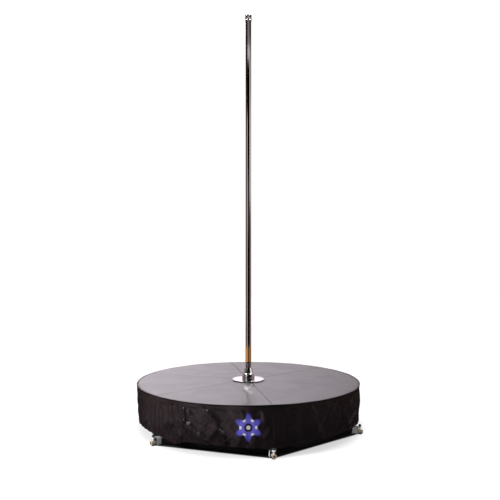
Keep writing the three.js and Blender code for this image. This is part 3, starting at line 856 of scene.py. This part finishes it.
def growth_tree(name, numbers):
    """A geometry node tree, with wires for its geometry, its numbers and its finish"""
    tree = bpy.data.node_groups.new(name, "GeometryNodeTree")
    kinds = [("Geometry", "Geometry"), *((number, "Float") for number in numbers), ("Finish", "Material")]
    for key, kind in kinds:
        tree.interface.new_socket(key, in_out="INPUT", socket_type=f"NodeSocket{kind}")
    tree.interface.new_socket("Geometry", in_out="OUTPUT", socket_type="NodeSocketGeometry")
    start = tree.nodes.new("NodeGroupInput")
    return tree, [Wire(start.outputs[k]) for k in range(len(kinds))]


def end_growth(tree, finish, values):
    """Ends a tree with an instance at each point, made real and finished"""
    placed = add_node(tree, "GeometryNodeInstanceOnPoints", values=values)
    real = add_node(tree, "GeometryNodeRealizeInstances", values=[placed])
    coloured = add_node(tree, "GeometryNodeSetMaterial", values={"Geometry": real, "Material": finish})
    add_node(tree, "NodeGroupOutput", values=[coloured])
    return tree


def stitch_tree():
    """Geometry nodes that lay stitches along a line"""
    tree, (line, spacing, length, thread, finish) = growth_tree("stitches", ("Spacing", "Length", "Thread"))
    curve = add_node(tree, "GeometryNodeMeshToCurve", values=[line])
    values = {"Curve": curve, "Length": spacing}
    even = add_node(tree, "GeometryNodeResampleCurve", {"mode": "LENGTH"}, values)
    tangent = add_node(tree, "GeometryNodeInputTangent")
    turn = add_node(tree, "FunctionNodeAlignRotationToVector", {"axis": "Z"}, {"Vector": tangent})
    capsule = add_node(tree, "GeometryNodeMeshUVSphere", values={"Segments": 6, "Rings": 5, "Radius": 0.5})
    size = add_node(tree, "ShaderNodeCombineXYZ", values=[thread, thread, length])
    return end_growth(tree, finish, {"Points": even, "Instance": capsule, "Rotation": turn, "Scale": size})


def bolt_tree():
    """Geometry nodes that put hexagon bolts at the points of a mesh, heads along Z"""
    tree, (spots, head, depth, finish) = growth_tree("bolts", ("Head", "Depth"))
    head_size = {"Vertices": 6, "Radius": head, "Depth": depth}
    hexagon = add_node(tree, "GeometryNodeMeshCylinder", values=head_size)
    washer_size = {"Vertices": 24, "Radius": head * WASHER_RADIUS_SHARE, "Depth": depth * WASHER_DEPTH_SHARE}
    washer = add_node(tree, "GeometryNodeMeshCylinder", values=washer_size)
    lift = add_node(tree, "ShaderNodeCombineXYZ", values=[0.0, 0.0, depth * BOLT_LIFT_SHARE])
    raised = add_node(tree, "GeometryNodeTransform", values={"Geometry": hexagon, "Translation": lift})
    both = tree.nodes.new("GeometryNodeJoinGeometry")
    tree.links.new(washer.socket, both.inputs[0])
    tree.links.new(raised.socket, both.inputs[0])
    return end_growth(tree, finish, {"Points": spots, "Instance": Wire(both.outputs[0])})


STITCHES = stitch_tree()
BOLTS = bolt_tree()


def grown(name, points, edges, tree, inputs):
    """A piece that a geometry node tree grows from points or lines, as a plain mesh"""
    mesh = bpy.data.meshes.new(name)
    mesh.from_pydata(points, edges, [])
    made = added(name, mesh)
    growth = made.modifiers.new(name, "NODES")
    growth.node_group = tree
    sockets = {item.name: item.identifier for item in tree.interface.items_tree if item.in_out == "INPUT"}
    for key, value in inputs.items():
        growth[sockets[key]] = value
    graph = bpy.context.evaluated_depsgraph_get()
    whole = bpy.data.meshes.new_from_object(made.evaluated_get(graph))
    made.modifiers.clear()
    made.data = whole
    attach(made, "root")
    return made


def stitch_points(i, along, down):
    radius = skirt_face(i, along, down) + STITCH_LIFT
    angle = panel_angle(i) + along * HALF_STEP
    return np.stack([radius * np.cos(angle), radius * np.sin(angle), SKIRT_TOP - down], -1).tolist()


def stitch_lines():
    """Rows of stitches: two above the hem, one under the piping, and two beside each panel seam"""
    points, edges = [], []

    def line(spots):
        first = len(points)
        points.extend(spots)
        edges.extend((first + k, first + k + 1) for k in range(len(spots) - 1))

    across = np.linspace(-ROW_END_SHARE, ROW_END_SHARE, 161)
    below = SKIRT_TOP - HEM_BAND
    for i in range(LEGS):
        line(stitch_points(i, across, across * 0 + TOP_BAND))
        for rise in HEM_ROWS:
            line(stitch_points(i, across, below - rise - hem_height(i, across)))
        for side in (-SIDE_ROW_SHARE, SIDE_ROW_SHARE):
            downs = np.linspace(TOP_BAND, below + STITCH_TAIL - hem_height(i, side), 41)
            line(stitch_points(i, downs * 0 + side, downs))
    grown("skirt_stitching", points, edges, STITCHES, {**STITCH, "Finish": THREAD})


def piping():
    """Corded edge at the top of the skirt, drawn up a little towards the front"""
    points = []
    for k in range(PIPING_STEPS):
        angle = 2 * math.pi * k / PIPING_STEPS
        lift = sum(height * math.sin(waves * angle + phase) for height, waves, phase in PIPING_WAVES)
        lift += PIPING_RISE * (0.5 + 0.5 * math.cos(angle - leg_angle(0)))
        radius = STAGE_RADIUS + PIPING_OUT + PIPING_WANDER[0] * math.sin(PIPING_WANDER[1] * angle)
        for m in range(PIPING_AROUND):
            turn = 2 * math.pi * m / PIPING_AROUND
            z = SKIRT_TOP - PIPING_DROP + lift + PIPING_RADIUS * math.sin(turn)
            points.append(polar(radius + PIPING_RADIUS * math.cos(turn), angle, z))
    faces = ring_faces(PIPING_STEPS, PIPING_AROUND, True)
    mesh = smooth(outward(to_mesh("piping", points, faces)), 80)
    piece("skirt_piping", mesh, [PIPING], "root")


def foot_screw(i, spot):
    """Threaded stem, hexagon flange and plastic cap"""
    body = f"foot_screw_{i + 1}"
    low, high = SCREW_LOW[2], SCREW_HIGH[2]
    cap_low = high - SCREW_CAP
    nut_low = cap_low - NUT_HEIGHT
    rows = int((nut_low - low) / THREAD_PITCH * THREAD_ROWS)
    points = []
    for row in range(rows + 1):
        z = low + (nut_low - low) * row / rows
        for k in range(THREAD_AROUND):
            phase = (z / THREAD_PITCH - k / THREAD_AROUND) % 1
            radius = THREAD_CORE + (THREAD_CREST - THREAD_CORE) * (1 - abs(2 * phase - 1))
            points.append(polar(radius, 2 * math.pi * k / THREAD_AROUND, z, spot))
    faces = ring_faces(rows + 1, THREAD_AROUND)
    faces.append(tuple(reversed(range(THREAD_AROUND))))
    faces.append(tuple(rows * THREAD_AROUND + k for k in range(THREAD_AROUND)))
    mesh = smooth(to_mesh(body, points, faces), 50)
    piece(f"levelling_stem_{i + 1}", mesh, [ZINC], body, [body])
    flange_top = nut_low + NUT_FLANGE
    nut = [
        (0, nut_low), (NUT_FLANGE_RADIUS, nut_low), (NUT_FLANGE_RADIUS, flange_top),
        (NUT_RADIUS, flange_top + NUT_SLOPE), (NUT_RADIUS, cap_low), (0, cap_low),
    ]
    nut_mesh = turned(f"knob_{i + 1}", rounded(nut, SMALL_ROUND, 2), FOOT_STEPS, spot)
    shape_hexagon(nut_mesh, spot, NUT_RADIUS, flange_top + NUT_SLOPE / 2)
    piece(f"levelling_nut_{i + 1}", nut_mesh, [ZINC], body)
    side = SCREW_CAP_RADIUS
    cap = [(0, cap_low), (side, cap_low), (side, high - SCREW_CAP_CHAMFER)]
    cap += [(side - SCREW_CAP_CHAMFER, high), (0, high)]
    cap_mesh = turned(f"cap_{i + 1}", rounded(cap, EDGE_ROUND, 3), FOOT_STEPS, spot)
    piece(f"levelling_cap_{i + 1}", cap_mesh, [PLASTIC], body)


def shape_hexagon(mesh, spot, radius, above):
    """Draws the part of a turned shape above a height in to a hexagon"""
    side = math.pi / 3
    for vertex in mesh.vertices:
        x, y = vertex.co.x - spot[0], vertex.co.y - spot[1]
        reach = math.hypot(x, y)
        if vertex.co.z < above or reach < THREAD_CORE:
            continue
        angle = math.atan2(y, x)
        off = (angle + side / 2) % side - side / 2
        limit = radius * math.cos(side / 2) / math.cos(off)
        pull = min(1.0, limit / reach)
        vertex.co.x, vertex.co.y = spot[0] + x * pull, spot[1] + y * pull
    mesh.update()


def foot_pad(i, spot):
    """Rubber pad with a groove round its side and a recess for the stem"""
    low, high = PAD_LOW[2], PAD_HIGH[2]
    side, floor = PAD_RADIUS, high - PAD_RECESS
    outline = [
        (0, low), (side, low), (side, low + 2 * PAD_RIB), (side - PAD_RIB, low + 3 * PAD_RIB),
        (side, low + 4 * PAD_RIB), (side, high - PAD_CHAMFER), (side - PAD_CHAMFER, high),
        (PAD_RECESS_RADIUS, high), (PAD_RECESS_RADIUS, floor), (0, floor),
    ]
    mesh = turned(f"pad_{i + 1}", rounded(outline, PAD_RIB, 2), FOOT_STEPS, spot)
    body = f"foot_pad_{i + 1}"
    piece(f"levelling_pad_{i + 1}", mesh, [RUBBER], body, [body])


def end_fitting(i):
    """Zinc block whose outward face is painted black as painted shade for the dark that the zinc mirrors
    there, a warmer barrel, and a black plug in the barrel's end
    """
    finishes = [ZINC, WARM_ZINC, PLASTIC]
    made = eased_copy(f"leg_end_{i + 1}", f"end_fitting_{i + 1}", finishes, EDGE_ROUND, 3)
    outer = FOOT_RADIUS - BARREL_RADIUS
    facing = Vector(polar(1, leg_angle(i), 0))
    for face in made.data.polygons:
        centre = sum((made.data.vertices[k].co for k in face.vertices), Vector()) / len(face.vertices)
        reach = centre.dot(facing)
        if reach > outer:
            face.material_index = 1
        # Painted shade: outward faces of the block take the black plastic finish, standing for the dark
        # reflection on the zinc
        elif reach > outer - PAINTED_SHADE_DEPTH and face.normal.dot(facing) > 0.7:
            face.material_index = 2
    seat = (-FITTING_LOW[1] - PLUG_INSET, 0, FITTING_LOW[2] + BARREL_HEIGHT)
    mesh = turned(f"plug_{i + 1}", rounded(PLUG, SMALL_ROUND, 2), PLUG_STEPS)
    lay = Matrix.Rotation(leg_angle(i), 4, "Z") @ Matrix.Translation(seat)
    mesh.transform(lay @ Matrix.Rotation(math.pi / 2, 4, "Y"))
    piece(f"barrel_plug_{i + 1}", mesh, [PLASTIC], "root")


def bolts():
    """Bolts up through the hub's lower plate into the legs, made heads up and turned over"""
    height = -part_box("hub")[0][2]
    spots = [polar(radius, leg_angle(i), height) for i in range(LEGS) for radius in HUB_BOLT_RADII]
    made = grown("hub_bolts", spots, [], BOLTS, {**HUB_BOLT, "Finish": ZINC})
    made.data.transform(Matrix.Rotation(math.pi, 4, "X"))


def frames():
    for i in range(LEGS):
        for kind in ("leg", "side"):
            eased_copy(f"{kind}_{i + 1}", f"{kind}_frame_{i + 1}", [POWDER], FRAME_ROUND)
    eased_copy("hub_body", "hub", [POWDER], HUB_ROUND)


def inner_parts():
    """Finishes of the pieces that the hub and the tubes hide"""
    ground = ["spindle", *(f"pole_joiner_{k}" for k in (1, 2, 3))]
    ground += [f"upper_bearing_{part}" for part in ("outer_race", "inner_race", "cage")]
    screws = ["spin_lock_screw_1", "spin_lock_screw_2"]
    for nodes, material in ((ground, GROUND), (["lower_bush"], BRONZE), (screws, POWDER)):
        for node in nodes:
            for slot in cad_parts[node].material_slots:
                slot.material = material


def feet():
    for i in range(LEGS):
        spot = polar(FOOT_RADIUS, leg_angle(i), 0)
        foot_screw(i, spot)
        foot_pad(i, spot)
        end_fitting(i)


def seen_rays(tree):
    """1 for what the camera sees, straight or in a mirror or through glass, and 0 for the rest"""
    rays = tree.nodes.new("ShaderNodeLightPath")
    seen = [Wire(rays.outputs[k]) for k in ("Is Camera Ray", "Is Glossy Ray", "Is Transmission Ray")]
    return (seen[0] + seen[1] + seen[2]).maths("MINIMUM", 1.0)


def floor_material():
    """White floor that keeps the object's shadow, with painted shadow: dark colour and no glow within the six
    sides of the frame, and lower glow near the stage
    """
    made = Finish("floor_white", [FLOOR_WHITE] * 3, 0.6, Emission_Strength=1.0)
    x, y, _ = made.axes()
    reach = (x * x + y * y).maths("SQRT")
    # Painted contact shadow: the glow is lower near the stage
    away = made.between(reach.step(*FLOOR_SHADE), FLOOR_SHADOW_GLOW, FLOOR_GLOW)
    turns = [panel_angle(k) for k in range(3)]
    sides = [(x * math.cos(turn) + y * math.sin(turn)).maths("ABSOLUTE") for turn in turns]
    farthest = sides[0].maths("MAXIMUM", sides[1]).maths("MAXIMUM", sides[2])
    # Painted shadow: within the six sides of the frame the floor is dark and does not glow
    floor_past_painted_shadow = farthest.step(*FLOOR_SHADOW_EDGE)
    glow = seen_rays(made.tree) * floor_past_painted_shadow * away
    made.feed("Base Color", made.mixed(floor_past_painted_shadow, [FLOOR_PAINTED_SHADOW] * 3, [FLOOR_WHITE] * 3))
    made.feed("Emission Color", made.mixed(glow, (0.0, 0.0, 0.0), (1.0, 1.0, 1.0)))
    return made.material


def staged(name, mesh, material):
    mesh.materials.append(material)
    made = added(name, mesh)
    return made


def eased(value, low, high):
    share = min(1.0, max(0.0, (value - low) / (high - low)))
    return share * share * (3 - 2 * share)


def within(value, low, high, soft):
    return eased(value, low - soft, low + soft) * eased(value, high + soft, high - soft)


def lit(turn, cards):
    return sum(light * within(turn, low, high, soft) for low, high, soft, light in cards)


def backdrop_light(side, turn, height):
    """White light from behind the object, stronger to the left"""
    behind = math.copysign(180 - side, turn) / 17
    white = 1.38 - 0.58 * max(-1.2, min(1.2, behind))
    middle_glow = 0.8 + 0.2 * eased(height, 1.2, 2.3)
    return white * (middle_glow + 0.4 * eased(height, 3.0, 3.8)) * eased(height, 0.0, 0.5)


def room_color(turn, radius, height):
    """Light of the room at a turn from the camera's side in degrees, positive to the right"""
    side = abs(turn)
    if height > ROOM_CEILING:
        ceiling = CEILING_LIGHT * eased(side, 95, 125) + lit(turn, CEILING_CARDS) * eased(radius, *CARD_RADII)
        return [ceiling + share for share in (0.03, 0.026, 0.024)]
    if radius < ROOM_WOOD[0]:
        near = 0.012 + within(radius, 1.25, 2.3, 0.2) * lit(turn, NEAR_CARDS)
        return [near * share for share in (1.0, 0.8, 0.86)]
    if side > ROOM_FRONT:
        white = backdrop_light(side, turn, height)
        return [white * share for share in (1.0, 0.93, 0.99)]
    if radius < ROOM_WOOD[1]:
        warmth = 0.12 + lit(turn, WOOD_CARDS)
        return [warmth * share for share in (1.0, 0.5, 0.19)]
    lean = 14 if turn < 0 else 0
    base = 0.004 + 0.04 * eased(side, 24, 46) + 0.3 * eased(side, 56 + lean, 84 + lean)
    base += 0.68 * eased(side, 138, 158) * eased(height, 0.5, 1.2)
    high = eased(height, 3.0, 5.4)
    tone = [1.0, 0.74 - 0.2 * high, 0.7 - 0.3 * high]
    wall = base * (1 - 0.85 * high)
    windows = sum(light * within(turn, *across) * within(height, *up) for across, up, light in WINDOWS)
    return [wall * share + windows for share in tone]


def room():
    """The room round the object, seen only in reflections: floor, wall and ceiling"""
    radii = [ROOM_NEAR + 0.2 * k for k in range(11)]
    for wood in ROOM_WOOD:
        radii += [wood - ROOM_EDGE, wood]
    profile = [(radius, ROOM_FLOOR) for radius in (*radii, ROOM_RADIUS)]
    profile += [(ROOM_RADIUS, 0.125 * k) for k in range(1, 53)]
    for k in range(10, -1, -1):
        profile.append((0.05 + (ROOM_RADIUS - 0.1) * k / 10, ROOM_CEILING + CEILING_RISE - CEILING_FALL * k))
    turns = np.linspace(-180, 180, 181)
    points, colors, faces = [], [], []
    for turn in turns:
        angle = math.radians(turn - 90) - CAMERA_TURN
        for radius, height in profile:
            points.append(polar(radius, angle, height))
            colors.extend([*room_color(turn, radius, height), 1.0])
    rows = len(profile)
    for column in range(len(turns) - 1):
        for row in range(rows - 1):
            a = column * rows + row
            faces.append((a, a + rows, a + rows + 1, a + 1))
    mesh = to_mesh("room", points, faces)
    mesh.color_attributes.new("light", "FLOAT_COLOR", "POINT").data.foreach_set("color", colors)
    made = bpy.data.materials.new("room_light")
    made.use_nodes = True
    tree = made.node_tree
    tree.nodes.clear()
    light = add_node(tree, "ShaderNodeAttribute", {"attribute_name": "light"})
    glow = add_node(tree, "ShaderNodeEmission", values={"Color": light, "Strength": 1.0})
    add_node(tree, "ShaderNodeOutputMaterial", values={"Surface": glow})
    card = staged("room", mesh, made)
    for rays in ("camera", "diffuse", "shadow", "volume_scatter"):
        setattr(card, f"visible_{rays}", False)


def studio():
    """White floor and world, the room, and soft lamps"""
    corners = [(x * FLOOR_REACH, y * FLOOR_REACH, 0) for x, y in ((-1, -1), (1, -1), (1, 1), (-1, 1))]
    staged("floor", to_mesh("floor", corners, [(0, 1, 2, 3)]), floor_material())
    world = bpy.data.worlds.new("studio")
    bpy.context.scene.world = world
    world.use_nodes = True
    tree = world.node_tree
    tree.nodes.clear()
    strength = seen_rays(tree) * (1 - WORLD_FILL) + WORLD_FILL
    back = add_node(tree, "ShaderNodeBackground", values={"Color": (1, 1, 1, 1), "Strength": strength})
    add_node(tree, "ShaderNodeOutputWorld", values={"Surface": back})
    room()
    right = Vector((-CAMERA_SIDE.y, CAMERA_SIDE.x, 0))
    for name, (toward, across, up, size, power) in LAMPS.items():
        data = bpy.data.lights.new(name, "AREA")
        data.size = size
        data.energy = power
        place = CAMERA_SIDE * toward + right * across + Vector((0, 0, up))
        lamp = aimed(name, data, place, Vector((0, 0, LAMP_AIM)) - place)
        lamp.visible_glossy = False


def aimed(name, data, place, facing):
    made = added(name, data)
    made.location = place
    made.rotation_mode = "QUATERNION"
    made.rotation_quaternion = facing.to_track_quat("-Z", "Y")
    return made


def camera():
    data = bpy.data.cameras.new("view")
    data.lens = CAMERA_LENS
    data.shift_x, data.shift_y = CAMERA_SHIFT
    place = CAMERA_SIDE * CAMERA_DISTANCE + Vector((0, 0, CAMERA_HEIGHT))
    bpy.context.scene.camera = aimed("view", data, place, -CAMERA_SIDE)


camera()
studio()
pole()
pole_cap()
flange()
bell()
deck()
for panel in range(LEGS):
    skirt_panel(panel)
stitch_lines()
piping()
feet()
frames()
bolts()
inner_parts()
bpy.context.scene.view_settings.view_transform = "Standard"
